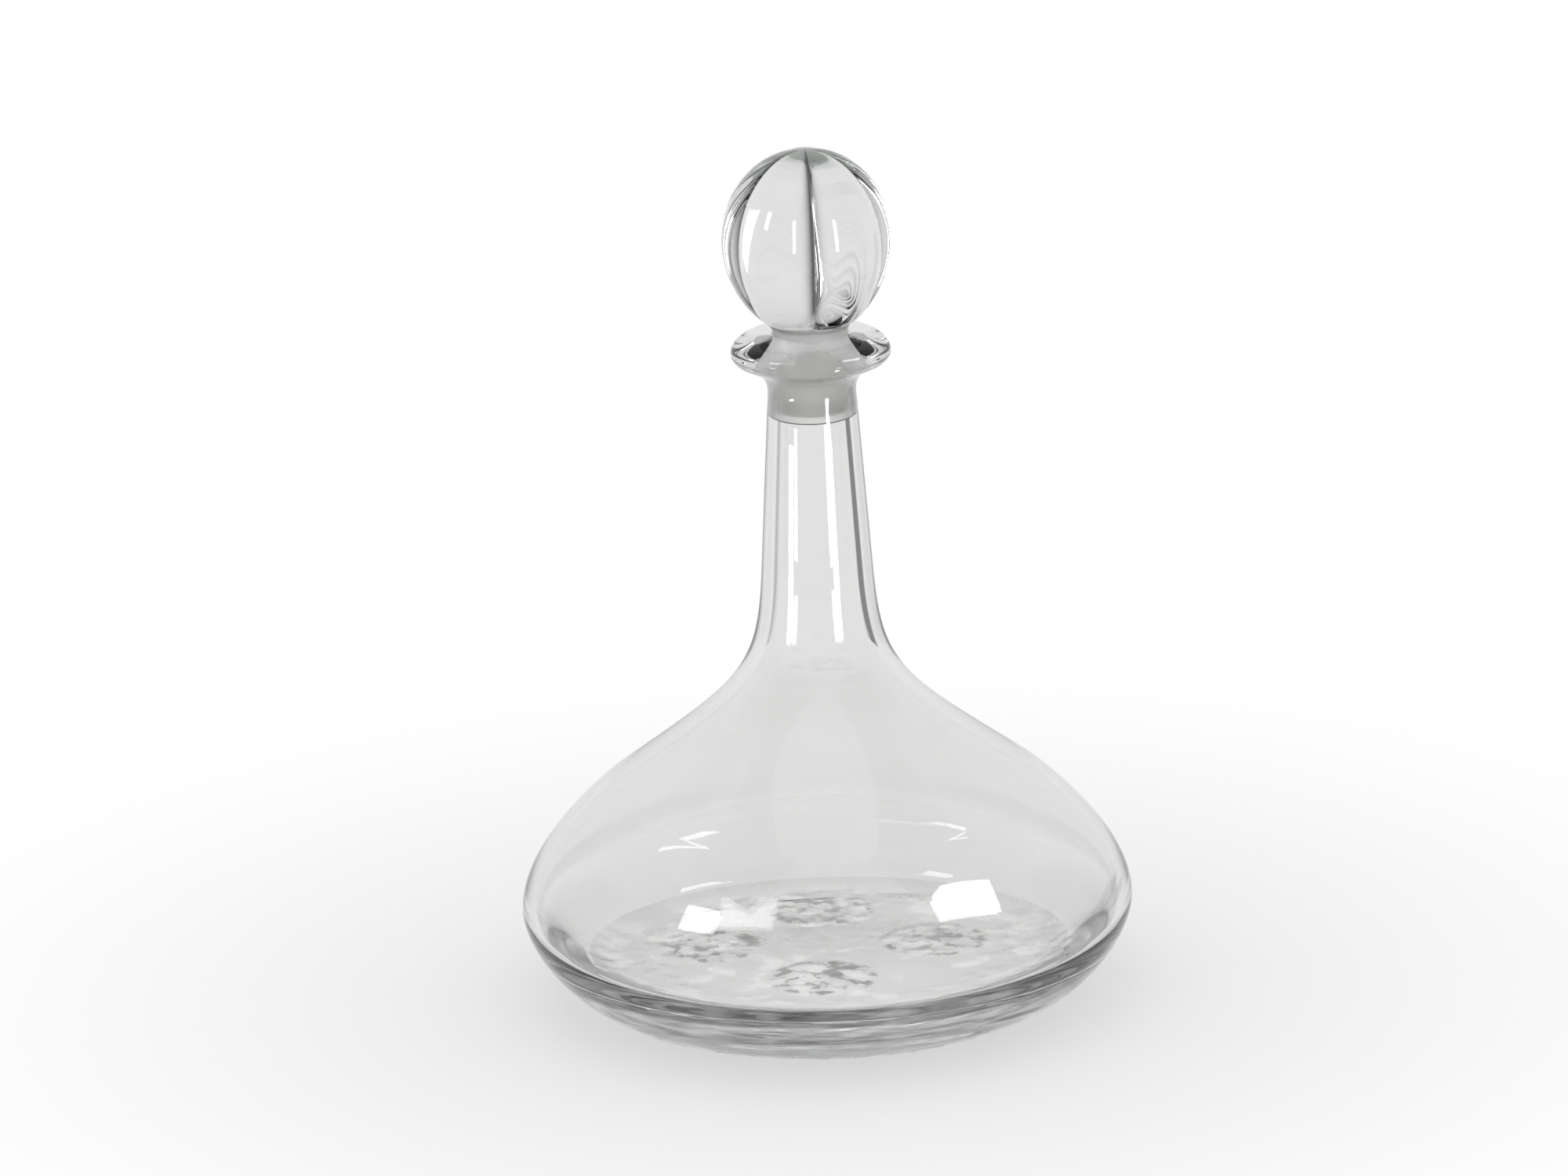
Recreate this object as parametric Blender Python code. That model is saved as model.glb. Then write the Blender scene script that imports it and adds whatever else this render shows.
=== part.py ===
"""Clear glass wine decanter: a broad-based blown vessel and its lobed, ground-in glass stopper.

Metres, +Z up. The origin is on the axis of the vessel, at the level of the table it stands on.
"""

import math

import bmesh
import bpy
from mathutils import Vector
from mathutils.geometry import interpolate_bezier

# Vessel, outside
FOOT_DIAMETER = 0.134
FOOT_RING_WIDTH = 0.008
PUNT_DEPTH = 0.002
BOWL_DIAMETER = 0.195
BOWL_WIDEST_HEIGHT = 0.030
SHOULDER_INSET = 0.027
SHOULDER_HEIGHT = 0.069
SHOULDER_SLOPE = math.radians(36.5)
NECK_ROOT_DIAMETER = 0.0354
NECK_ROOT_HEIGHT = 0.140
NECK_DIAMETER = 0.028
NECK_LENGTH = 0.058
LIP_DIAMETER = 0.0504
LIP_EDGE_DROP = 0.0066
LIP_NECK_BLEND = 0.020
MOUTH_EDGE_RADIUS = 0.0008

# Vessel, inside
FLOOR_THICKNESS = 0.014
FLOOR_DIAMETER = 0.120
BOWL_WALL = 0.0043
NECK_ROOT_WALL = 0.0048
NECK_WALL = 0.0037

# Ground seat in the neck, and the stopper that fits it
SEAT_STEP = 0.0005
SEAT_TAPER = 0.05
SEAT_CLEARANCE = 0.0003
SEAT_RUN_OUT = 0.0015
PLUG_LENGTH = 0.0255
PLUG_END_RADIUS = 0.0012
BALL_DIAMETER = 0.0546
BALL_HEIGHT = 0.060
BALL_UNDERSIDE_ANGLE = math.radians(50)
THROAT_HEIGHT = 0.006
LOBE_COUNT = 5
LOBE_DEPTH = 0.0038
LOBE_FADE_HEIGHT = 0.0145
VALLEY_TURN = math.radians(4)

# How far each free-drawn curve holds the direction of its ends, as a share of its span
FOOT_PULL = 0.34
HEEL_PULL = 0.25
BOWL_PULL = 0.34
SHOULDER_PULL = 0.07
SWEEP_PULL = 0.63
NECK_ROOT_PULL = 0.38
LIP_TOP_PULL = 0.50
LIP_EDGE_PULL = 0.15
LIP_NECK_PULL = 0.60
THROAT_PULL = 0.35

# Facets
VESSEL_SEGMENTS = 48
SEGMENTS_PER_LOBE = 12
HEEL_STEPS = 7
BOWL_STEPS = 7
SWEEP_STEPS = 12
LIP_STEPS = 6
EDGE_STEPS = 3
PUNT_STEPS = 3
BALL_STEPS = 18
THROAT_STEPS = 4
MERGE_DISTANCE = 0.000001
CREASE_ANGLE = math.radians(40)

# Glass
GLASS_COLOUR = (0.90, 0.92, 0.91)
GLASS_IOR = 1.52
VESSEL_ROUGHNESS = 0.02
STOPPER_ROUGHNESS = 0.04

RIGHT_ANGLE = math.pi / 2
DOWN = Vector((0, -1))
UP = Vector((0, 1))
OUT = Vector((1, 0))

SHOULDER_RADIUS = BOWL_DIAMETER / 2 - SHOULDER_INSET
NECK_TOP_HEIGHT = NECK_ROOT_HEIGHT + NECK_LENGTH
MOUTH_HEIGHT = NECK_TOP_HEIGHT + LIP_NECK_BLEND
SEAT_BOTTOM_HEIGHT = MOUTH_HEIGHT - PLUG_LENGTH - SEAT_RUN_OUT
BORE_RADIUS = NECK_DIAMETER / 2 - NECK_WALL
SEAT_BOTTOM_RADIUS = BORE_RADIUS + SEAT_STEP
BALL_UNDERSIDE_DROP = BALL_HEIGHT / 2 * math.sin(BALL_UNDERSIDE_ANGLE)
BALL_RADIUS = BALL_DIAMETER / 2
VALLEY_RADIUS = BALL_RADIUS - LOBE_DEPTH
LOBE_HALF_TURN = math.pi / LOBE_COUNT
LOBE_OFFSET = (BALL_RADIUS ** 2 - VALLEY_RADIUS ** 2) / (
    2 * (BALL_RADIUS - VALLEY_RADIUS * math.cos(LOBE_HALF_TURN))
)
LOBE_RADIUS = BALL_RADIUS - LOBE_OFFSET


def seat_radius(height):
    """Radius of the tapered ground seat in the neck at a height."""
    return SEAT_BOTTOM_RADIUS + SEAT_TAPER * (height - SEAT_BOTTOM_HEIGHT)


def plug_radius(height):
    """Radius of the ground plug that rests in the seat, one clearance smaller."""
    return seat_radius(height) - SEAT_CLEARANCE


def oval_arc(centre, half_width, half_height, start, end, steps):
    """Points (radius, height) on an oval, from one angle to another, counted from straight out."""
    points = []
    for step in range(steps + 1):
        angle = start + (end - start) * step / steps
        across = centre.x + half_width * math.cos(angle)
        points.append(Vector((across, centre.y + half_height * math.sin(angle))))
    return points


def drawn_curve(start, leaves, leave_pull, end, arrives, arrive_pull, steps):
    """Points on a smooth curve that leaves its start and reaches its end in the given directions."""
    span = (end - start).length
    first_handle = start + leaves * leave_pull * span
    second_handle = end - arrives * arrive_pull * span
    return interpolate_bezier(start, first_handle, second_handle, end, steps + 1)


def joined(*stretches):
    """One outline from stretches that share their end points."""
    outline = []
    for stretch in stretches:
        for point in stretch:
            if not outline or (point - outline[-1]).length > MERGE_DISTANCE:
                outline.append(Vector((point.x, point.y)))
    return outline


def falling(slope_angle):
    """Direction down and outwards along a shoulder of this slope."""
    return Vector((math.cos(slope_angle), -math.sin(slope_angle)))


def vessel_inside():
    """Outline of the cavity: floor, heel, bowl, shoulder, bore and ground seat, up to the mouth."""
    widest = Vector((BOWL_DIAMETER / 2 - BOWL_WALL, BOWL_WIDEST_HEIGHT))
    slope = falling(SHOULDER_SLOPE)
    inward = Vector((slope.y, -slope.x))
    shoulder = Vector((SHOULDER_RADIUS, SHOULDER_HEIGHT)) + inward * BOWL_WALL
    root = Vector((NECK_ROOT_DIAMETER / 2 - NECK_ROOT_WALL, NECK_ROOT_HEIGHT))
    bore_top = Vector((BORE_RADIUS, SEAT_BOTTOM_HEIGHT - SEAT_STEP))
    up_bore = (bore_top - root).normalized()

    floor = [Vector((0, FLOOR_THICKNESS))]
    heel = oval_arc(
        Vector((FLOOR_DIAMETER / 2, BOWL_WIDEST_HEIGHT)),
        widest.x - FLOOR_DIAMETER / 2,
        BOWL_WIDEST_HEIGHT - FLOOR_THICKNESS,
        -RIGHT_ANGLE,
        0,
        HEEL_STEPS,
    )
    bowl = drawn_curve(widest, UP, BOWL_PULL, shoulder, -slope, SHOULDER_PULL, BOWL_STEPS)
    sweep = drawn_curve(shoulder, -slope, SWEEP_PULL, root, up_bore, NECK_ROOT_PULL, SWEEP_STEPS)
    mouth_edge = MOUTH_HEIGHT - MOUTH_EDGE_RADIUS
    seat = [
        bore_top,
        Vector((SEAT_BOTTOM_RADIUS, SEAT_BOTTOM_HEIGHT)),
        Vector((seat_radius(mouth_edge), mouth_edge)),
    ]
    edge = oval_arc(
        Vector((seat_radius(mouth_edge) + MOUTH_EDGE_RADIUS, mouth_edge)),
        MOUTH_EDGE_RADIUS,
        MOUTH_EDGE_RADIUS,
        math.pi,
        RIGHT_ANGLE,
        EDGE_STEPS,
    )
    return joined(floor, heel, bowl, sweep, seat, edge)


def vessel_outside(mouth):
    """Outline of the outside, from the mouth over the lip and down to the middle of the base."""
    lip_edge = Vector((LIP_DIAMETER / 2, MOUTH_HEIGHT - LIP_EDGE_DROP))
    neck_top = Vector((NECK_DIAMETER / 2, NECK_TOP_HEIGHT))
    root = Vector((NECK_ROOT_DIAMETER / 2, NECK_ROOT_HEIGHT))
    down_neck = (root - neck_top).normalized()
    shoulder = Vector((SHOULDER_RADIUS, SHOULDER_HEIGHT))
    slope = falling(SHOULDER_SLOPE)
    widest = Vector((BOWL_DIAMETER / 2, BOWL_WIDEST_HEIGHT))

    lip_top = drawn_curve(mouth, OUT, LIP_TOP_PULL, lip_edge, DOWN, LIP_EDGE_PULL, LIP_STEPS)
    lip_under = drawn_curve(
        lip_edge, DOWN, LIP_EDGE_PULL, neck_top, down_neck, LIP_NECK_PULL, LIP_STEPS
    )
    sweep = drawn_curve(root, down_neck, NECK_ROOT_PULL, shoulder, slope, SWEEP_PULL, SWEEP_STEPS)
    bowl = drawn_curve(shoulder, slope, SHOULDER_PULL, widest, DOWN, BOWL_PULL, BOWL_STEPS)
    foot = Vector((FOOT_DIAMETER / 2, 0))
    heel = drawn_curve(widest, DOWN, HEEL_PULL, foot, -OUT, FOOT_PULL, HEEL_STEPS)
    punt_radius = FOOT_DIAMETER / 2 - FOOT_RING_WIDTH
    punt = oval_arc(Vector((0, 0)), punt_radius, PUNT_DEPTH, 0, RIGHT_ANGLE, PUNT_STEPS)
    return joined(lip_top, lip_under, sweep, bowl, heel, punt)


def stopper_outline():
    """Outline of the stopper, from the top of its ball down to the middle of the plug's end."""
    centre = Vector((0, MOUTH_HEIGHT + THROAT_HEIGHT + BALL_UNDERSIDE_DROP))
    half_height = BALL_HEIGHT / 2
    ball = oval_arc(
        centre, BALL_RADIUS, half_height, RIGHT_ANGLE, -BALL_UNDERSIDE_ANGLE, BALL_STEPS
    )
    way_round = Vector((
        -BALL_RADIUS * math.sin(BALL_UNDERSIDE_ANGLE),
        -half_height * math.cos(BALL_UNDERSIDE_ANGLE),
    )).normalized()
    plug_top = Vector((plug_radius(MOUTH_HEIGHT), MOUTH_HEIGHT))
    down_plug = Vector((-SEAT_TAPER, -1)).normalized()
    throat = drawn_curve(
        ball[-1], way_round, THROAT_PULL, plug_top, down_plug, THROAT_PULL, THROAT_STEPS
    )
    plug_end = MOUTH_HEIGHT - PLUG_LENGTH
    end_edge = plug_end + PLUG_END_RADIUS
    end = oval_arc(
        Vector((plug_radius(end_edge) - PLUG_END_RADIUS, end_edge)),
        PLUG_END_RADIUS,
        PLUG_END_RADIUS,
        0,
        -RIGHT_ANGLE,
        EDGE_STEPS,
    )
    return joined(ball, throat, end, [Vector((0, plug_end))])


def turned(name, outline, segments, origin_height):
    """A solid of revolution from an outline, with its origin on the axis at a height."""
    mesh = bpy.data.meshes.new(name)
    shape = bmesh.new()
    points = [shape.verts.new((p.x, 0, p.y - origin_height)) for p in outline]
    edges = [shape.edges.new(pair) for pair in zip(points, points[1:])]
    bmesh.ops.spin(
        shape,
        geom=points + edges,
        axis=(0, 0, 1),
        cent=(0, 0, 0),
        steps=segments,
        angle=2 * math.pi,
        use_merge=True,
    )
    bmesh.ops.remove_doubles(shape, verts=shape.verts, dist=MERGE_DISTANCE)
    bmesh.ops.recalc_face_normals(shape, faces=shape.faces)
    shape.to_mesh(mesh)
    shape.free()
    piece = bpy.data.objects.new(name, mesh)
    piece.location.z = origin_height
    bpy.context.collection.objects.link(piece)
    return piece


def lobe_reach(turn):
    """Distance from the axis to the round side of a lobe, at a turn counted from a valley."""
    off_middle = turn % (2 * LOBE_HALF_TURN) - LOBE_HALF_TURN
    aside = LOBE_OFFSET * math.sin(off_middle)
    return LOBE_OFFSET * math.cos(off_middle) + math.sqrt(LOBE_RADIUS ** 2 - aside ** 2)


def press_lobes(stopper):
    """Presses the ball into round lobes, which fade out down to the top of the plug."""
    for vertex in stopper.data.vertices:
        spot = vertex.co
        fade = min(1, max(0, spot.z / LOBE_FADE_HEIGHT))
        pressed = 1 - lobe_reach(math.atan2(spot.x, -spot.y)) / BALL_RADIUS
        kept = 1 - pressed * fade
        spot.x *= kept
        spot.y *= kept


def glass(name, roughness):
    """Clear glass with a faint tint."""
    material = bpy.data.materials.new(name)
    material.use_nodes = True
    shader = material.node_tree.nodes["Principled BSDF"]
    shader.inputs["Base Color"].default_value = (*GLASS_COLOUR, 1)
    shader.inputs["Roughness"].default_value = roughness
    shader.inputs["IOR"].default_value = GLASS_IOR
    shader.inputs["Transmission Weight"].default_value = 1
    shader.inputs["Metallic"].default_value = 0
    return material


def finish(piece, material):
    """Gives a piece its material and smooth shading with crisp edges."""
    piece.data.materials.append(material)
    piece.data.shade_smooth()
    piece.data.set_sharp_from_angle(angle=CREASE_ANGLE)


def make_vessel():
    inside = vessel_inside()
    outline = joined(inside, vessel_outside(inside[-1]))
    vessel = turned("vessel", outline, VESSEL_SEGMENTS, 0)
    finish(vessel, glass("vessel_glass", VESSEL_ROUGHNESS))


def make_stopper():
    stopper = turned("stopper", stopper_outline(), LOBE_COUNT * SEGMENTS_PER_LOBE, MOUTH_HEIGHT)
    stopper.rotation_euler.z = VALLEY_TURN
    press_lobes(stopper)
    finish(stopper, glass("stopper_glass", STOPPER_ROUGHNESS))


for leftover in list(bpy.data.objects):
    bpy.data.objects.remove(leftover)
make_vessel()
make_stopper()
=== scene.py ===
"""Clear glass wine decanter with its lobed ball stopper, on a pale studio floor."""

import math

import bpy
from mathutils import Matrix, Vector
from mathutils.geometry import interpolate_bezier


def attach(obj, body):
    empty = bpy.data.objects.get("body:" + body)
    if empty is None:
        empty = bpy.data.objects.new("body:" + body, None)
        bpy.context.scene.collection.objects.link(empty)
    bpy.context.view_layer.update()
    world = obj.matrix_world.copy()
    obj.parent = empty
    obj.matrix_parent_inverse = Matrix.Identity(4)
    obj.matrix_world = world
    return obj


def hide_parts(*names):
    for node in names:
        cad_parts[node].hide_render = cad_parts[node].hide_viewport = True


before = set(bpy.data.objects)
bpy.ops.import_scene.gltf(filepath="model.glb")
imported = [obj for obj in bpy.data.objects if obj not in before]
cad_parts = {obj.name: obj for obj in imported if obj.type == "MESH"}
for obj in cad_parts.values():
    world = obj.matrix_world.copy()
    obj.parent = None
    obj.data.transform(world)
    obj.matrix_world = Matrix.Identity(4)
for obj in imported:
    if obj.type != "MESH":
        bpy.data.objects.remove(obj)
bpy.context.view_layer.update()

DOWN = Vector((0, 0, -1))
UP = Vector((0, 0, 1))
OUT = Vector((1, 0, 0))
RIGHT_ANGLE = math.pi / 2
SAME_SPOT = 0.00001
SEED_SIZE = 0.001
WELD_DISTANCE = 0.000002
SMOOTH_ANGLE = math.radians(35)

# Vessel, outside, in metres
FOOT_RADIUS = 0.067
FOOT_RING_WIDTH = 0.008
PUNT_DEPTH = 0.002
BOWL_RADIUS = 0.0975
BOWL_WIDEST_HEIGHT = 0.030
SHOULDER = Vector((0.0705, 0, 0.069))
SHOULDER_SLOPE = math.radians(36.5)
NECK_ROOT = Vector((0.0177, 0, 0.140))
NECK_TOP = Vector((0.014, 0, 0.198))
LIP_EDGE = Vector((0.0252, 0, 0.2114))
MOUTH_HEIGHT = 0.218
MOUTH_EDGE = 0.0008

# Vessel, inside
FLOOR_HEIGHT = 0.014
FLOOR_RADIUS = 0.060
BOWL_WALL = 0.0043
NECK_ROOT_WALL = 0.0048
BORE_RADIUS = 0.0103

# Pulls of the drawn stretches, as shares of their spans
BELLY_PULL = 0.34
SHOULDER_PULL = 0.07
SWEEP_PULL = 0.63
NECK_ROOT_PULL = 0.38
LIP_TOP_PULL = 0.50
LIP_EDGE_PULL = 0.30
LIP_NECK_PULL = 0.60
HEEL_PULL = 0.25
FOOT_PULL = 0.34
PUNT_PULL = 0.40
THROAT_PULL = 0.35

# Ground seat and stopper
SEAT_STEP = 0.0005
SEAT_TAPER = 0.05
SEAT_CLEARANCE = 0.0003
PLUG_END_HEIGHT = 0.1925
SEAT_RUN_OUT = 0.0015
SEAT_BOTTOM_HEIGHT = PLUG_END_HEIGHT - SEAT_RUN_OUT
PLUG_END_EDGE = 0.0012
BALL_RADIUS = 0.0273
BALL_HALF_HEIGHT = 0.030
BALL_UNDERSIDE = math.radians(50)
THROAT_HEIGHT = 0.006
LOBES = 5
LOBE_DEPTH = 0.0038
LOBE_FADE_HEIGHT = 0.0145
VALLEY_TURN = math.radians(4)
VALLEY_SOFTNESS = 0.06
CLEFT_DEPTH = 0.0015
CLEFT_WIDTH = 0.0015
CLEFT_ROUNDING = 0.00015
# Painted shade in the clefts: how dark each cleft is painted, how wide, and how it rises from the
# mouth
CLEFT_SHADES = (1, 0.6, 0.3, 0.3, 1)
CLEFT_SHADE_WIDTH = 0.10
CLEFT_SHADE_RISE = (0.004, 0.012)

# Marks of the making, under the base
UNDERSIDE_HEIGHT = 0.004
MARKS = 4
MARK_CENTRE = Vector((-0.002, 0.011, 0))
MARK_RING = 0.036
MARK_RADIUS = 0.018
MARK_EDGE = 0.002
MARK_DEPTH = 0.0010
MARK_LEVEL = 0.25
MARK_GRAIN = 0.006
ICE_DEPTH = 0.0007
ICE_LEVEL = 0.85
ICE_GRAIN = 0.005
ICE_IN_PUNT = 0.12
ICE_RADII = (0.047, 0.057)
ICE_HEIGHTS = (0.003, 0.006)
CHILL_LOSS = 0.4
CHILL_LOSS_RADII = (0.063, 0.070)
CHILL_HEIGHT = 0.0045
CHILL_FACING = -0.5

# Finishes
GLASS_IOR = 1.5
CLEAR_TINTS = ((0.3, (0.962, 0.963, 0.957, 1)), (0.7, (0.980, 0.981, 0.977, 1)))
CLEAR_BODY = (0.86, 0.90, 0.875, 1)
CLEAR_DENSITY = 5
# Colour of the painted shade along the stopper's clefts
CLEFT_PAINTED_SHADE = (0.008, 0.007, 0.006, 1)
GROUND_TINT = (0.86, 0.855, 0.845, 1)
CHILLED_TINT = (0.98, 0.98, 0.975, 1)
# Colour of the painted shade in the round marks under the base
STROKE_PAINTED_SHADE = (0.02, 0.02, 0.018, 1)
GRIND_MARGIN = 0.0004
SEAT_GRIND_RADIUS = 0.0124
PLUG_GRIND_RISE = 0.0045
PLUG_GRIND_RADIUS = 0.0150

VESSEL_SEGMENTS = 224
LOBE_SEGMENTS = 60


def seat_radius(height):
    """Radius of the tapered ground seat inside the neck."""
    return BORE_RADIUS + SEAT_STEP + SEAT_TAPER * (height - SEAT_BOTTOM_HEIGHT)


def plug_radius(height):
    """Radius of the ground plug, one clearance inside its seat."""
    return seat_radius(height) - SEAT_CLEARANCE


def oval(centre, half_width, half_height, start, end, steps):
    """A stretch of an oval in the plane of the outline, by angle from straight out."""
    stretch = []
    for step in range(steps + 1):
        angle = start + (end - start) * step / steps
        reach = Vector((half_width * math.cos(angle), 0, half_height * math.sin(angle)))
        stretch.append(centre + reach)
    return stretch


def drawn(start, leaves, leave_pull, end, arrives, arrive_pull, steps):
    """A smooth stretch that leaves and arrives in the given directions."""
    span = (end - start).length
    first = start + leaves * leave_pull * span
    second = end - arrives * arrive_pull * span
    return interpolate_bezier(start, first, second, end, steps + 1)


def straight(start, end, steps):
    """An even run of points from one place to another."""
    return [start.lerp(end, step / steps) for step in range(steps + 1)]


def joined(*stretches):
    """One outline from stretches that share their ends."""
    outline = []
    for stretch in stretches:
        for spot in stretch:
            if not outline or (spot - outline[-1]).length > SAME_SPOT:
                outline.append(spot.copy())
    return outline


def vessel_outline():
    """From the middle of the inner floor up to the mouth, over the lip and down to the punt."""
    slope = Vector((math.cos(SHOULDER_SLOPE), 0, -math.sin(SHOULDER_SLOPE)))
    inward = Vector((slope.z, 0, -slope.x))
    inner_widest = Vector((BOWL_RADIUS - BOWL_WALL, 0, BOWL_WIDEST_HEIGHT))
    inner_shoulder = SHOULDER + inward * BOWL_WALL
    inner_root = NECK_ROOT - OUT * NECK_ROOT_WALL
    bore_top = Vector((BORE_RADIUS, 0, SEAT_BOTTOM_HEIGHT - SEAT_STEP))
    up_bore = (bore_top - inner_root).normalized()
    seat_low = Vector((seat_radius(SEAT_BOTTOM_HEIGHT), 0, SEAT_BOTTOM_HEIGHT))
    edge_low = MOUTH_HEIGHT - MOUTH_EDGE
    seat_high = Vector((seat_radius(edge_low), 0, edge_low))
    mouth = seat_high + Vector((MOUTH_EDGE, 0, MOUTH_EDGE))
    down_neck = (NECK_ROOT - NECK_TOP).normalized()
    widest = Vector((BOWL_RADIUS, 0, BOWL_WIDEST_HEIGHT))
    foot = Vector((FOOT_RADIUS, 0, 0))
    ring_inside = Vector((FOOT_RADIUS - FOOT_RING_WIDTH, 0, 0))

    inside = joined(
        straight(Vector((0, 0, FLOOR_HEIGHT)), Vector((FLOOR_RADIUS, 0, FLOOR_HEIGHT)), steps=24),
        oval(
            Vector((FLOOR_RADIUS, 0, BOWL_WIDEST_HEIGHT)),
            inner_widest.x - FLOOR_RADIUS,
            BOWL_WIDEST_HEIGHT - FLOOR_HEIGHT,
            -RIGHT_ANGLE,
            0,
            steps=28,
        ),
        drawn(inner_widest, UP, BELLY_PULL, inner_shoulder, -slope, SHOULDER_PULL, steps=28),
        drawn(inner_shoulder, -slope, SWEEP_PULL, inner_root, up_bore, NECK_ROOT_PULL, steps=44),
        straight(inner_root, bore_top, steps=16),
        straight(bore_top, seat_low, steps=3),
        straight(seat_low, seat_high, steps=14),
        oval(mouth - UP * MOUTH_EDGE, MOUTH_EDGE, MOUTH_EDGE, math.pi, RIGHT_ANGLE, steps=6),
    )
    outside = joined(
        drawn(inside[-1], OUT, LIP_TOP_PULL, LIP_EDGE, DOWN, LIP_EDGE_PULL, steps=22),
        drawn(LIP_EDGE, DOWN, LIP_EDGE_PULL, NECK_TOP, down_neck, LIP_NECK_PULL, steps=26),
        straight(NECK_TOP, NECK_ROOT, steps=18),
        drawn(NECK_ROOT, down_neck, NECK_ROOT_PULL, SHOULDER, slope, SWEEP_PULL, steps=44),
        drawn(SHOULDER, slope, SHOULDER_PULL, widest, DOWN, BELLY_PULL, steps=28),
        drawn(widest, DOWN, HEEL_PULL, foot, -OUT, FOOT_PULL, steps=44),
        straight(foot, ring_inside, steps=10),
        drawn(ring_inside, -OUT, PUNT_PULL, UP * PUNT_DEPTH, -OUT, PUNT_PULL, steps=44),
    )
    return joined(inside, outside)


def stopper_outline():
    """From the top of the ball down its side, in to the throat and down the plug."""
    drop = BALL_HALF_HEIGHT * math.sin(BALL_UNDERSIDE)
    centre = UP * (MOUTH_HEIGHT + THROAT_HEIGHT + drop)
    ball = oval(centre, BALL_RADIUS, BALL_HALF_HEIGHT, RIGHT_ANGLE, -BALL_UNDERSIDE, steps=72)
    way_round = Vector((
        -BALL_RADIUS * math.sin(BALL_UNDERSIDE),
        0,
        -BALL_HALF_HEIGHT * math.cos(BALL_UNDERSIDE),
    )).normalized()
    plug_top = Vector((plug_radius(MOUTH_HEIGHT), 0, MOUTH_HEIGHT))
    down_plug = Vector((-SEAT_TAPER, 0, -1)).normalized()
    edge_height = PLUG_END_HEIGHT + PLUG_END_EDGE
    plug_low = Vector((plug_radius(edge_height), 0, edge_height))
    edge_centre = plug_low - OUT * PLUG_END_EDGE
    return joined(
        ball,
        drawn(ball[-1], way_round, THROAT_PULL, plug_top, down_plug, THROAT_PULL, steps=16),
        straight(plug_top, plug_low, steps=14),
        oval(edge_centre, PLUG_END_EDGE, PLUG_END_EDGE, 0, -RIGHT_ANGLE, steps=6),
        straight(edge_centre - UP * PLUG_END_EDGE, UP * PLUG_END_HEIGHT, steps=8),
    )


def turn(name, outline, segments):
    """Draws an outline out point by point and turns it about the upright axis."""
    bpy.ops.object.select_all(action="DESELECT")
    bpy.ops.mesh.primitive_plane_add(size=SEED_SIZE)
    piece = bpy.context.active_object
    piece.name = name
    piece.data.name = name
    bpy.ops.object.mode_set(mode="EDIT")
    bpy.ops.mesh.select_all(action="SELECT")
    bpy.ops.mesh.merge(type="CENTER")
    bpy.ops.transform.translate(value=outline[0])
    for near, far in zip(outline, outline[1:]):
        bpy.ops.mesh.extrude_region_move(TRANSFORM_OT_translate={"value": far - near})
    bpy.ops.mesh.select_all(action="SELECT")
    bpy.ops.mesh.spin(steps=segments, angle=2 * math.pi, center=(0, 0, 0), axis=(0, 0, 1))
    bpy.ops.mesh.select_all(action="SELECT")
    bpy.ops.mesh.remove_doubles(threshold=WELD_DISTANCE)
    bpy.ops.mesh.normals_make_consistent(inside=False)
    bpy.ops.object.mode_set(mode="OBJECT")
    return piece


def ease(value, start, end):
    """Goes smoothly from 0 at the start to 1 at the end."""
    share = min(1, max(0, (value - start) / (end - start)))
    return share * share * (3 - 2 * share)


def lobe_reach(angle):
    """Distance from the axis to a lobe's round side, at an angle from a softened valley."""
    half_turn = math.pi / LOBES
    valley = BALL_RADIUS - LOBE_DEPTH
    offset = (BALL_RADIUS ** 2 - valley ** 2) / (2 * (BALL_RADIUS - valley * math.cos(half_turn)))
    from_valley = half_turn - abs(angle % (2 * half_turn) - half_turn)
    off_middle = half_turn - math.hypot(from_valley, VALLEY_SOFTNESS)
    aside = offset * math.sin(off_middle)
    side = offset * math.cos(off_middle) + math.sqrt((BALL_RADIUS - offset) ** 2 - aside ** 2)
    from_cleft = math.hypot(from_valley * valley, CLEFT_ROUNDING)
    return side - CLEFT_DEPTH * math.exp(-from_cleft / CLEFT_WIDTH)


def press_lobes(stopper):
    """Presses the ball into round lobes, which fade out down to the plug."""
    for vertex in stopper.data.vertices:
        spot = vertex.co
        fade = min(1, max(0, (spot.z - MOUTH_HEIGHT) / LOBE_FADE_HEIGHT))
        pressed = 1 - lobe_reach(math.atan2(spot.x, -spot.y) - VALLEY_TURN) / BALL_RADIUS
        spot.x *= 1 - pressed * fade
        spot.y *= 1 - pressed * fade


def shade_clefts(stopper):
    """Keeps how much shade is painted into each cleft between two lobes, as a value on the surface.
    """
    painted_cleft_shade = stopper.data.attributes.new("cleft_painted_shade", "FLOAT", "POINT")
    for vertex in stopper.data.vertices:
        spot = vertex.co
        turns = (math.atan2(spot.x, -spot.y) - VALLEY_TURN) / (2 * math.pi / LOBES)
        nearest = round(turns)
        away = (turns - nearest) * 2 * math.pi / LOBES / CLEFT_SHADE_WIDTH
        fade = ease(spot.z - MOUTH_HEIGHT, *CLEFT_SHADE_RISE)
        shade = CLEFT_SHADES[nearest % LOBES] * math.exp(-away * away)
        painted_cleft_shade.data[vertex.index].value = shade * fade


def displace(piece, name, weights, depth, middle, direction, pattern=None):
    """Moves a weighted part of a piece's surface in or out, as a press or a grinder would."""
    group = piece.vertex_groups.new(name=name)
    for index, weight in weights.items():
        group.add([index], weight, "REPLACE")
    press = piece.modifiers.new(name, "DISPLACE")
    press.vertex_group = name
    press.strength = depth
    press.mid_level = middle
    press.direction = direction
    press.texture = pattern
    bpy.ops.object.select_all(action="DESELECT")
    piece.select_set(True)
    bpy.context.view_layer.objects.active = piece
    bpy.ops.object.modifier_apply(modifier=name)
    piece.vertex_groups.remove(piece.vertex_groups[name])


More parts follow.
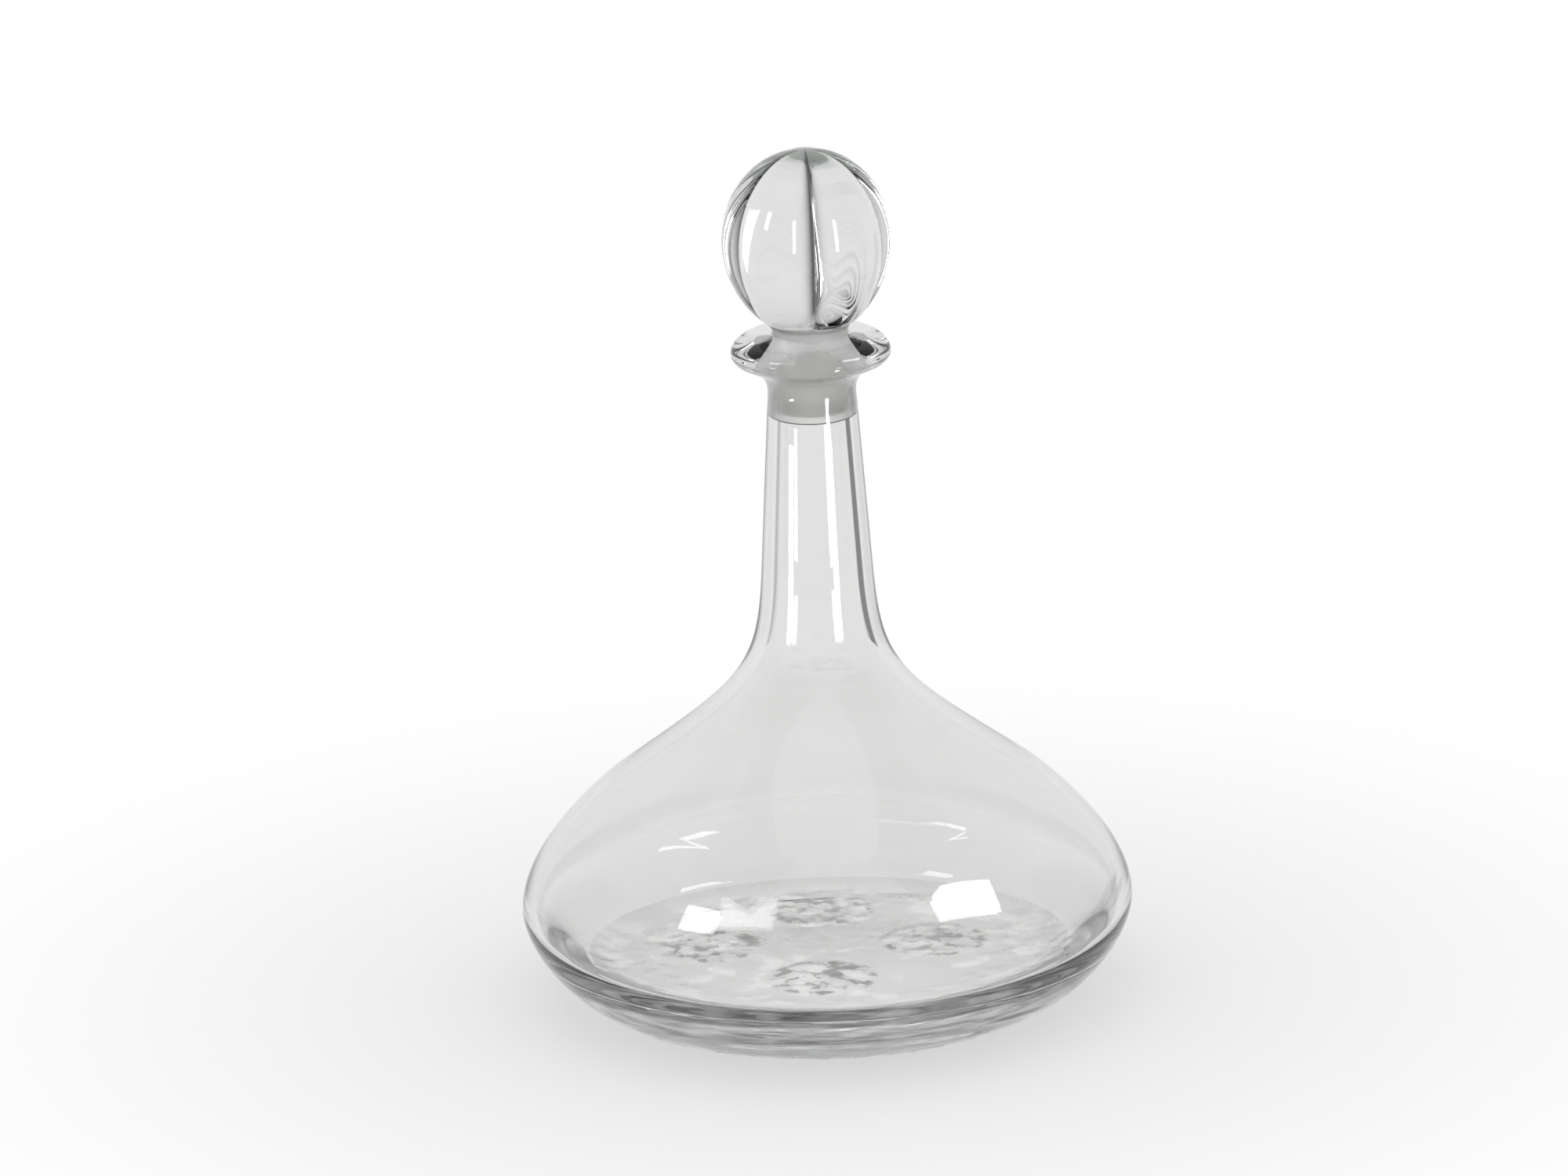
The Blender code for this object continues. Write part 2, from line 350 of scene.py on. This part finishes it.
def grain(name, size):
    """An uneven, cloudy pattern of lumps of about this size."""
    pattern = bpy.data.textures.new(name, "CLOUDS")
    pattern.noise_scale = size
    pattern.noise_depth = 1
    return pattern


def work_base(vessel):
    """Presses four rough round marks into the punt, and leaves the underside wavy and cold-marked."""
    marks = {}
    ice = {}
    for vertex in vessel.data.vertices:
        spot = vertex.co
        reach = math.hypot(spot.x, spot.y)
        if spot.z < UNDERSIDE_HEIGHT and reach < FOOT_RADIUS - FOOT_RING_WIDTH:
            for mark in range(MARKS):
                angle = mark * 2 * math.pi / MARKS
                middle = MARK_CENTRE + Vector((math.cos(angle), math.sin(angle), 0)) * MARK_RING
                away = math.hypot(spot.x - middle.x, spot.y - middle.y)
                weight = 1 - ease(away, MARK_RADIUS - MARK_EDGE, MARK_RADIUS)
                if weight > 0:
                    marks[vertex.index] = weight
        if spot.z < ICE_HEIGHTS[1]:
            weight = ICE_IN_PUNT + (1 - ICE_IN_PUNT) * ease(reach, *ICE_RADII)
            weight *= 1 - ease(spot.z, *ICE_HEIGHTS)
            if weight > 0:
                ice[vertex.index] = weight
    rough_marks = grain("rough_marks", MARK_GRAIN)
    displace(vessel, "round_marks", marks, MARK_DEPTH, MARK_LEVEL, "Z", rough_marks)
    # Weight of the painted shade in the round marks, which the chilled glass breaks into dark strokes
    painted_mark_shade = vessel.data.attributes.new("mark_painted_shade", "FLOAT", "POINT")
    for index, weight in marks.items():
        painted_mark_shade.data[index].value = weight
    rough = vessel.data.attributes.new("chill", "FLOAT", "POINT")
    for index in ice:
        spot = vessel.data.vertices[index].co
        loss = CHILL_LOSS * ease(math.hypot(spot.x, spot.y), *CHILL_LOSS_RADII)
        rough.data[index].value = 1 - loss
    displace(vessel, "icy_foot", ice, ICE_DEPTH, ICE_LEVEL, "NORMAL", grain("icy_foot", ICE_GRAIN))
    for vertex in vessel.data.vertices:
        vertex.co.z = max(0, vertex.co.z)


def node(tree, kind, sockets=None, **settings):
    """A new shader node with its settings, and its sockets set or joined to others."""
    made = tree.nodes.new("ShaderNode" + kind)
    for name, value in settings.items():
        setattr(made, name, value)
    for socket, value in (sockets or {}).items():
        if isinstance(value, bpy.types.NodeSocket):
            tree.links.new(value, made.inputs[socket])
        else:
            made.inputs[socket].default_value = value
    return made


def maths(tree, operation, first, second):
    """The result of one sum on two values or sockets."""
    return node(tree, "Math", {0: first, 1: second}, operation=operation).outputs["Value"]


def eased(tree, value, start, end, low, high):
    """A smooth step of a value between two bounds."""
    step = node(tree, "MapRange", {
        "Value": value, "From Min": start, "From Max": end, "To Min": low, "To Max": high,
    }, interpolation_type="SMOOTHSTEP")
    return step.outputs["Result"]


def blend(tree, share, first, second):
    """A colour that goes from the first to the second by a share from 0 to 1."""
    mixed = node(tree, "Mix", {0: share, 6: first, 7: second}, data_type="RGBA")
    return mixed.outputs[2]


def ramp(tree, value, steps):
    """Colours by a value from 0 to 1, from steps that each have a place and a colour."""
    made = node(tree, "ValToRGB", {"Fac": value})
    while len(made.color_ramp.elements) < len(steps):
        made.color_ramp.elements.new(1)
    for element, (place, colour) in zip(made.color_ramp.elements, steps):
        element.position = place
        element.color = colour
    return made.outputs["Color"]


def bare_glass(name, transmission):
    """A glass to finish, with its nodes, its shader and the spots of its surface."""
    material = bpy.data.materials.new(name)
    material.use_nodes = True
    tree = material.node_tree
    shader = tree.nodes["Principled BSDF"]
    shader.inputs["IOR"].default_value = GLASS_IOR
    shader.inputs["Transmission Weight"].default_value = transmission
    spots = node(tree, "TexCoord").outputs["Object"]
    return material, tree, shader, spots


def clear_glass(name):
    """Polished clear glass, faintly green where it is thick, with soft cords from the blowing, and
    painted shade in the stopper's clefts.
    """
    material, tree, shader, spots = bare_glass(name, 1)
    shader.inputs["Roughness"].default_value = 0
    cords = node(tree, "TexNoise", {"Vector": spots, "Scale": 30, "Detail": 2})
    tint = ramp(tree, cords.outputs["Fac"], CLEAR_TINTS)
    # Painted shade along the stopper's clefts, darkening the glass there
    painted_cleft_shade = node(tree, "Attribute", attribute_name="cleft_painted_shade")
    colour = blend(tree, painted_cleft_shade.outputs["Fac"], tint, CLEFT_PAINTED_SHADE)
    tree.links.new(colour, shader.inputs["Base Color"])
    body = node(tree, "VolumeAbsorption", {"Color": CLEAR_BODY, "Density": CLEAR_DENSITY})
    tree.links.new(body.outputs["Volume"], tree.nodes["Material Output"].inputs["Volume"])
    return material


def ground_glass(name):
    """Glass ground matt, as in a ground-in stopper's seat."""
    material, tree, shader, spots = bare_glass(name, 1)
    shader.inputs["Base Color"].default_value = GROUND_TINT
    grit = node(tree, "TexNoise", {"Vector": spots, "Scale": 2500})
    matt = node(tree, "MapRange", {"Value": grit.outputs["Fac"], "To Min": 0.45, "To Max": 0.65})
    tree.links.new(matt.outputs["Result"], shader.inputs["Roughness"])
    return material


def chilled_glass(name):
    """Glass left uneven by the cold mould under the base, with painted shade as dark broken strokes
    in the round marks.
    """
    material, tree, shader, spots = bare_glass(name, 0.9)
    cold = node(tree, "TexNoise", {"Vector": spots, "Scale": 75, "Detail": 3})
    rough = node(tree, "MapRange", {
        "Value": cold.outputs["Fac"],
        "From Min": 0.35, "From Max": 0.65, "To Min": 0.1, "To Max": 0.75,
    })
    outward = node(tree, "Attribute", attribute_name="chill")
    uneven = maths(tree, "MULTIPLY", rough.outputs["Result"], outward.outputs["Fac"])
    tree.links.new(uneven, shader.inputs["Roughness"])
    strokes = node(tree, "TexNoise", {"Vector": spots, "Scale": 170, "Detail": 4})
    broken = node(tree, "MapRange", {
        "Value": strokes.outputs["Fac"],
        "From Min": 0.49, "From Max": 0.58, "To Min": 0, "To Max": 0.9,
    })
    # Painted shade as dark broken strokes in the pressed round marks
    marked = node(tree, "Attribute", attribute_name="mark_painted_shade")
    dark = maths(tree, "MULTIPLY", broken.outputs["Result"], marked.outputs["Fac"])
    colour = blend(tree, dark, CHILLED_TINT, STROKE_PAINTED_SHADE)
    tree.links.new(colour, shader.inputs["Base Color"])
    return material


def chill(vessel):
    """Gives the underside the vessel's third, chilled finish."""
    for face in vessel.data.polygons:
        if face.center.z < CHILL_HEIGHT and face.normal.z < CHILL_FACING:
            face.material_index = 2


def grind(piece, low, high, inner):
    """Gives the faces of a band around the axis the piece's second, ground finish."""
    for face in piece.data.polygons:
        height = face.center.z
        near_axis = math.hypot(face.center.x, face.center.y) < inner
        face.material_index = 1 if low < height < high and near_axis else 0


vessel = turn("blown_vessel", vessel_outline(), VESSEL_SEGMENTS)
work_base(vessel)
bpy.ops.object.shade_smooth_by_angle(angle=SMOOTH_ANGLE)
stopper = turn("lobed_stopper", stopper_outline(), LOBES * LOBE_SEGMENTS)
press_lobes(stopper)
shade_clefts(stopper)
bpy.ops.object.shade_smooth_by_angle(angle=SMOOTH_ANGLE)
for piece, part in ((vessel, "vessel"), (stopper, "stopper")):
    piece.data.materials.clear()
    piece.data.materials.append(clear_glass(part + "_clear_glass"))
    piece.data.materials.append(ground_glass(part + "_ground_glass"))
    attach(piece, part)
    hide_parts(part)
grind(vessel, SEAT_BOTTOM_HEIGHT - GRIND_MARGIN, MOUTH_HEIGHT - MOUTH_EDGE, SEAT_GRIND_RADIUS)
vessel.data.materials.append(chilled_glass("vessel_chilled_glass"))
chill(vessel)
plug_grind_top = MOUTH_HEIGHT + PLUG_GRIND_RISE
grind(stopper, PLUG_END_HEIGHT + GRIND_MARGIN, plug_grind_top, PLUG_GRIND_RADIUS)


# Studio floor, as the glass sees it
STUDIO_RADIUS = 3
FLOOR_COLOUR = (0.86, 0.86, 0.86, 1)
FLOOR_TONE = 0.82
FLOOR_FRONT_TONE = 0.75
FLOOR_FRONT = (-0.14, -0.05)
FLOOR_GLOW = 0.8
# Painted light on the floor close under the vessel, as the glass sees it: its gain and the radii it
# fades over
UNDER_PAINTED_LIGHT = 1.3
UNDER_RADII = (0.045, 0.085)
DARK_SECTORS = ((55, 11, 0.97), (-62, 9, 0.5))
DARK_SECTOR_EDGE = 3
DARK_SECTOR_RADII = (0.30, 0.40)
SHADOW_RADII = (0.08, 0.36)
SHADOW_WHITE = 0.45

# Studio walls, greys by height from the horizon to straight up
ROOM_COLOUR = (0.9, 0.9, 0.9, 1)
BEHIND = (0.2, 0.7)
BACK_WALL = ((0, 0.82), (0.15, 0.8), (0.35, 0.76), (0.5, 0.74), (0.8, 0.72), (1, 0.75))
SIDE_WALLS = ((0, 0.78), (0.25, 0.66), (0.5, 0.52), (0.75, 0.5), (1, 0.7))

# Lamps and flags
BOWL_MIDDLE = UP * 0.06
WINDOW_DISTANCE = 1.5
NECK_MIDDLE = UP * 0.22
TALL_BOX_DISTANCE = 0.32
TALL_BOX_HEIGHT = 0.165
BALL_MIDDLE = UP * 0.245
STRIP_DISTANCE = 0.6
STRIP_BRIGHTNESS = 6
FLAG_TONE = 0.33
FLAG_DISTANCE = 0.12
FLAG_RISE = 50

# Camera
PICTURE_WIDTH = 2000
PICTURE_HEIGHT = 1500
AIM = UP * 0.14
AIM_PIXEL = (1042.5, 724.6)
FOCAL_PIXELS = 12632
SENSOR_WIDTH = 36
CAMERA_DISTANCE = 3
CAMERA_RISE = math.radians(17)
CAMERA_ROLL = math.radians(-1.75)


def heading(turn_degrees, rise_degrees):
    """Direction by its turn from straight behind the decanter, to the right, and its rise."""
    turn_angle = math.radians(turn_degrees)
    rise = math.radians(rise_degrees)
    level = math.cos(rise)
    return Vector((math.sin(turn_angle) * level, math.cos(turn_angle) * level, math.sin(rise)))


def soft_box(name, place, target, width, height, brightness, only=None, roll=0, spread=180):
    """A rectangular lamp of even brightness, not seen by the camera itself."""
    lamp = bpy.data.lights.new(name, "AREA")
    lamp.shape = "RECTANGLE"
    lamp.size = width
    lamp.size_y = height
    lamp.energy = brightness * 4 * width * height
    lamp.spread = math.radians(spread)
    box = bpy.data.objects.new(name, lamp)
    bpy.context.scene.collection.objects.link(box)
    facing = (target - place).to_track_quat("-Z", "Y").to_matrix().to_4x4()
    rolled = Matrix.Rotation(math.radians(roll), 4, "Z")
    box.matrix_world = Matrix.Translation(place) @ facing @ rolled
    box.visible_camera = False
    if only:
        reach = bpy.data.collections.new(name + "_reach")
        reach.objects.link(only)
        box.light_linking.receiver_collection = reach


def window(name, turn_degrees, rise_degrees, roll, width, height, brightness):
    """A window pane that shows in the vessel, high at one side, sized for a distance of 1."""
    place = BOWL_MIDDLE + heading(turn_degrees, rise_degrees) * WINDOW_DISTANCE
    width *= WINDOW_DISTANCE
    height *= WINDOW_DISTANCE
    soft_box(name, place, BOWL_MIDDLE, width, height, brightness, vessel, roll)


window("right_window", 107.6, 45, roll=-31, width=0.387, height=0.215, brightness=7)
window("left_window", -116.4, 43.5, roll=19, width=0.208, height=0.174, brightness=7)
window("left_far_window", -135, 53, roll=22, width=0.314, height=0.206, brightness=2.4)
for side, turn_degrees in (("left", -125), ("right", 142)):
    place = heading(turn_degrees, 0) * TALL_BOX_DISTANCE + UP * TALL_BOX_HEIGHT
    soft_box(
        side + "_tall_box", place, NECK_MIDDLE,
        width=0.055, height=0.17, brightness=1.5, only=vessel, spread=38,
    )
for side, turn_degrees, rise_degrees, width, height in (
    ("left", -123, 27, 0.11, 0.20),
    ("front", 166, 12, 0.09, 0.36),
):
    place = BALL_MIDDLE + heading(turn_degrees, rise_degrees) * STRIP_DISTANCE
    soft_box(side + "_strip", place, BALL_MIDDLE, width, height, STRIP_BRIGHTNESS, stopper)


def card(name, place, target, width, height, brightness):
    """A card of even brightness that only the glass sees."""
    bpy.ops.object.select_all(action="DESELECT")
    bpy.ops.mesh.primitive_plane_add(size=1)
    flag = bpy.context.active_object
    flag.name = name
    flag.scale = (width, height, 1)
    flag.location = place
    flag.rotation_euler = (target - place).to_track_quat("Z", "Y").to_euler()
    material = bpy.data.materials.new(name)
    material.use_nodes = True
    tree = material.node_tree
    tree.nodes.clear()
    tone = node(tree, "Emission", {"Strength": brightness})
    node(tree, "OutputMaterial", {"Surface": tone.outputs["Emission"]})
    flag.data.materials.append(material)
    flag.visible_camera = False
    flag.visible_diffuse = False
    flag.visible_shadow = False


for side, turn_degrees, across in (("left", -122, -0.013), ("right", 108, 0.013)):
    shoulder_spot = Vector((across, -0.031, 0.097))
    place = shoulder_spot + heading(turn_degrees, FLAG_RISE) * FLAG_DISTANCE
    card(side + "_flag", place, shoulder_spot, width=0.10, height=0.08, brightness=FLAG_TONE)


def shaded(tree, across, along, strength):
    """What is left of the light, 1 or less, in the soft-edged dark sectors beside the object."""
    left = None
    angle = maths(tree, "ARCTAN2", across, along)
    for middle, half_angle, depth in DARK_SECTORS:
        aside = maths(tree, "ABSOLUTE", maths(tree, "SUBTRACT", angle, math.radians(middle)), 0)
        inner = math.radians(half_angle - DARK_SECTOR_EDGE)
        outer = math.radians(half_angle + DARK_SECTOR_EDGE)
        dark = maths(tree, "MULTIPLY", eased(tree, aside, inner, outer, depth, 0), strength)
        kept = maths(tree, "SUBTRACT", 1, dark)
        left = maths(tree, "MULTIPLY", left, kept) if left else kept
    return left


def seen_in_glass(tree, path):
    """1 for what is seen in or through the glass."""
    return maths(tree, "MAXIMUM", path.outputs["Is Glossy Ray"], path.outputs["Is Transmission Ray"])


bpy.ops.object.select_all(action="DESELECT")
bpy.ops.mesh.primitive_circle_add(vertices=96, radius=STUDIO_RADIUS, fill_type="NGON")
floor = bpy.context.active_object
floor.name = "studio_floor"
pale = bpy.data.materials.new("pale_floor")
pale.use_nodes = True
tree = pale.node_tree
tree.nodes.clear()
path = node(tree, "LightPath")
spot = node(tree, "TexCoord")
parts = node(tree, "SeparateXYZ", {"Vector": spot.outputs["Object"]})
across, along = parts.outputs["X"], parts.outputs["Y"]
length = node(tree, "VectorMath", {0: spot.outputs["Object"]}, operation="LENGTH")
reach = length.outputs["Value"]
far = eased(tree, reach, *SHADOW_RADII, SHADOW_WHITE, 1)
tone = eased(tree, along, *FLOOR_FRONT, FLOOR_FRONT_TONE, FLOOR_TONE)
# Painted light: the floor glows brighter close under the vessel, as seen in and through the glass
painted_light_under = eased(tree, reach, *UNDER_RADII, UNDER_PAINTED_LIGHT, 1)
tone = maths(tree, "MULTIPLY", tone, painted_light_under)
aside = eased(tree, reach, *DARK_SECTOR_RADII, 0, 1)
tone = maths(tree, "MULTIPLY", tone, shaded(tree, across, along, aside))
matt = node(tree, "BsdfDiffuse", {"Color": FLOOR_COLOUR})
glow = node(tree, "Emission", {"Strength": tone})
white = node(tree, "Emission", {"Strength": 1})
through = maths(tree, "MULTIPLY", seen_in_glass(tree, path), FLOOR_GLOW)
in_glass = node(tree, "MixShader", {
    0: through, 1: matt.outputs["BSDF"], 2: glow.outputs["Emission"],
})
backdrop = maths(tree, "MULTIPLY", far, path.outputs["Is Camera Ray"])
mixed = node(tree, "MixShader", {
    0: backdrop, 1: in_glass.outputs["Shader"], 2: white.outputs["Emission"],
})
node(tree, "OutputMaterial", {"Surface": mixed.outputs["Shader"]})
floor.data.materials.append(pale)


def greys(tree, height, steps):
    """Wall greys by height, from the horizon at 0 to straight up at 1."""
    return ramp(tree, height, [(place, (shade, shade, shade, 1)) for place, shade in steps])


world = bpy.data.worlds.new("studio")
bpy.context.scene.world = world
world.use_nodes = True
tree = world.node_tree
tree.nodes.clear()
path = node(tree, "LightPath")
spot = node(tree, "TexCoord")
parts = node(tree, "SeparateXYZ", {"Vector": spot.outputs["Generated"]})
behind = eased(tree, parts.outputs["Y"], *BEHIND, 0, 1)
side_walls = greys(tree, parts.outputs["Z"], SIDE_WALLS)
back_wall = greys(tree, parts.outputs["Z"], BACK_WALL)
walls = blend(tree, behind, side_walls, back_wall)
first_seen = maths(tree, "LESS_THAN", path.outputs["Diffuse Depth"], 0.5)
through = maths(tree, "MULTIPLY", seen_in_glass(tree, path), first_seen)
even = node(tree, "Background", {"Color": ROOM_COLOUR})
room = node(tree, "Background", {"Color": walls})
white = node(tree, "Background", {"Color": (1, 1, 1, 1)})
lit = node(tree, "MixShader", {
    0: through, 1: even.outputs["Background"], 2: room.outputs["Background"],
})
mixed = node(tree, "MixShader", {
    0: path.outputs["Is Camera Ray"], 1: lit.outputs["Shader"], 2: white.outputs["Background"],
})
node(tree, "OutputWorld", {"Surface": mixed.outputs["Shader"]})

camera_data = bpy.data.cameras.new("camera")
camera_data.sensor_width = SENSOR_WIDTH
camera_data.lens = FOCAL_PIXELS / PICTURE_WIDTH * SENSOR_WIDTH
camera = bpy.data.objects.new("camera", camera_data)
bpy.context.scene.collection.objects.link(camera)
bpy.context.scene.camera = camera
away = Vector((0, -CAMERA_DISTANCE, CAMERA_DISTANCE * math.tan(CAMERA_RISE)))
look = (-away).to_track_quat("-Z", "Y").to_matrix().to_4x4()
rolled = Matrix.Rotation(CAMERA_ROLL, 4, "Z")
camera.matrix_world = Matrix.Translation(AIM + away) @ look @ rolled
camera_data.shift_x = -(AIM_PIXEL[0] - PICTURE_WIDTH / 2) / PICTURE_WIDTH
camera_data.shift_y = (AIM_PIXEL[1] - PICTURE_HEIGHT / 2) / PICTURE_WIDTH
bpy.context.scene.view_settings.view_transform = "Standard"
